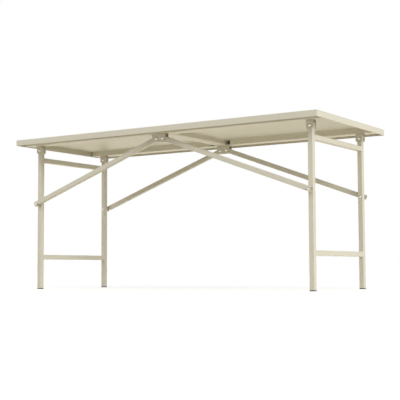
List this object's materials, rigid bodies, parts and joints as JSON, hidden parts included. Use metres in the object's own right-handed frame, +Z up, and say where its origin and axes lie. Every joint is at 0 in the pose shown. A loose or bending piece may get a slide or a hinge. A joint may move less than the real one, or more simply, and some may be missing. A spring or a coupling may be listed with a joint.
{
  "type": "folding work table",
  "caption": "Rectangular sheet steel work table on two square tube leg frames that fold under the top, held open by notched tube braces.",
  "frame": {"origin": "on the floor, under the middle of the top, centre of the bottom of the bounding box", "axes": "+X along the table's length to the right end, +Y from the front long side to the rear one, +Z up"},
  "size_m": [1.829, 0.775, 0.8145],
  "materials": {
    "powder_coat": "satin, fine texture",
    "rivet_steel": "zinc plated, satin",
    "foot_plastic": "matt"
  },
  "bodies": {
    "tabletop": {"tabletop_pan": "powder_coat", "front_rail": "powder_coat", "rear_rail": "powder_coat", "centre_cross_member": "powder_coat", "centre_bracket_front": "powder_coat", "centre_bracket_rear": "powder_coat", "hinge_bracket_front_left": "powder_coat", "hinge_bracket_front_right": "powder_coat", "hinge_bracket_rear_left": "powder_coat", "hinge_bracket_rear_right": "powder_coat", "hinge_pin_front_left": "rivet_steel", "hinge_pin_front_right": "rivet_steel", "hinge_pin_rear_left": "rivet_steel", "hinge_pin_rear_right": "rivet_steel", "brace_pivot_pin_front_left": "rivet_steel", "brace_pivot_pin_front_right": "rivet_steel", "brace_pivot_pin_rear_left": "rivet_steel", "brace_pivot_pin_rear_right": "rivet_steel"},
    "left_leg_frame": {"leg_front_left": "powder_coat", "leg_rear_left": "powder_coat", "foot_glide_front_left": "foot_plastic", "foot_glide_rear_left": "foot_plastic", "brace_stud_front_left": "rivet_steel", "brace_stud_rear_left": "rivet_steel", "stud_spacer_front_left": "rivet_steel", "stud_spacer_rear_left": "rivet_steel", "upper_crossbar_left": "powder_coat", "lower_crossbar_left": "powder_coat"},
    "right_leg_frame": {"leg_front_right": "powder_coat", "leg_rear_right": "powder_coat", "foot_glide_front_right": "foot_plastic", "foot_glide_rear_right": "foot_plastic", "brace_stud_front_right": "rivet_steel", "brace_stud_rear_right": "rivet_steel", "stud_spacer_front_right": "rivet_steel", "stud_spacer_rear_right": "rivet_steel", "upper_crossbar_right": "powder_coat", "lower_crossbar_right": "powder_coat"},
    "front_left_brace": {"brace_front_left": "powder_coat"},
    "front_right_brace": {"brace_front_right": "powder_coat"},
    "rear_left_brace": {"brace_rear_left": "powder_coat"},
    "rear_right_brace": {"brace_rear_right": "powder_coat"}
  },
  "joints": [
    {"name": "left_leg_fold", "type": "hinge", "parent": "tabletop", "child": "left_leg_frame", "pos_m": [-0.8295, 0, 0.7629], "axis": [0, -1, 0], "range_deg": [0, 87]},
    {"name": "front_left_brace_swing", "type": "hinge", "parent": "tabletop", "child": "front_left_brace", "pos_m": [-0.01905, -0.3076, 0.7629], "axis": [0, 1, 0], "range_deg": [0, 20.6]},
    {"name": "rear_left_brace_swing", "type": "hinge", "parent": "tabletop", "child": "rear_left_brace", "pos_m": [-0.01905, 0.3076, 0.7629], "axis": [0, 1, 0], "range_deg": [0, 20.6]},
    {"name": "right_leg_fold", "type": "hinge", "parent": "tabletop", "child": "right_leg_frame", "pos_m": [0.8295, 0, 0.7629], "axis": [0, 1, 0], "range_deg": [0, 87]},
    {"name": "front_right_brace_swing", "type": "hinge", "parent": "tabletop", "child": "front_right_brace", "pos_m": [0.01905, -0.3076, 0.7629], "axis": [0, -1, 0], "range_deg": [0, 20.6]},
    {"name": "rear_right_brace_swing", "type": "hinge", "parent": "tabletop", "child": "rear_right_brace", "pos_m": [0.01905, 0.3076, 0.7629], "axis": [0, -1, 0], "range_deg": [0, 20.6]}
  ],
  "couplings": [
    {"joint": "front_left_brace_swing", "follows": "left_leg_fold", "ratio": 0.23593},
    {"joint": "rear_left_brace_swing", "follows": "left_leg_fold", "ratio": 0.23593},
    {"joint": "front_right_brace_swing", "follows": "right_leg_fold", "ratio": 0.23593},
    {"joint": "rear_right_brace_swing", "follows": "right_leg_fold", "ratio": 0.23593}
  ]
}
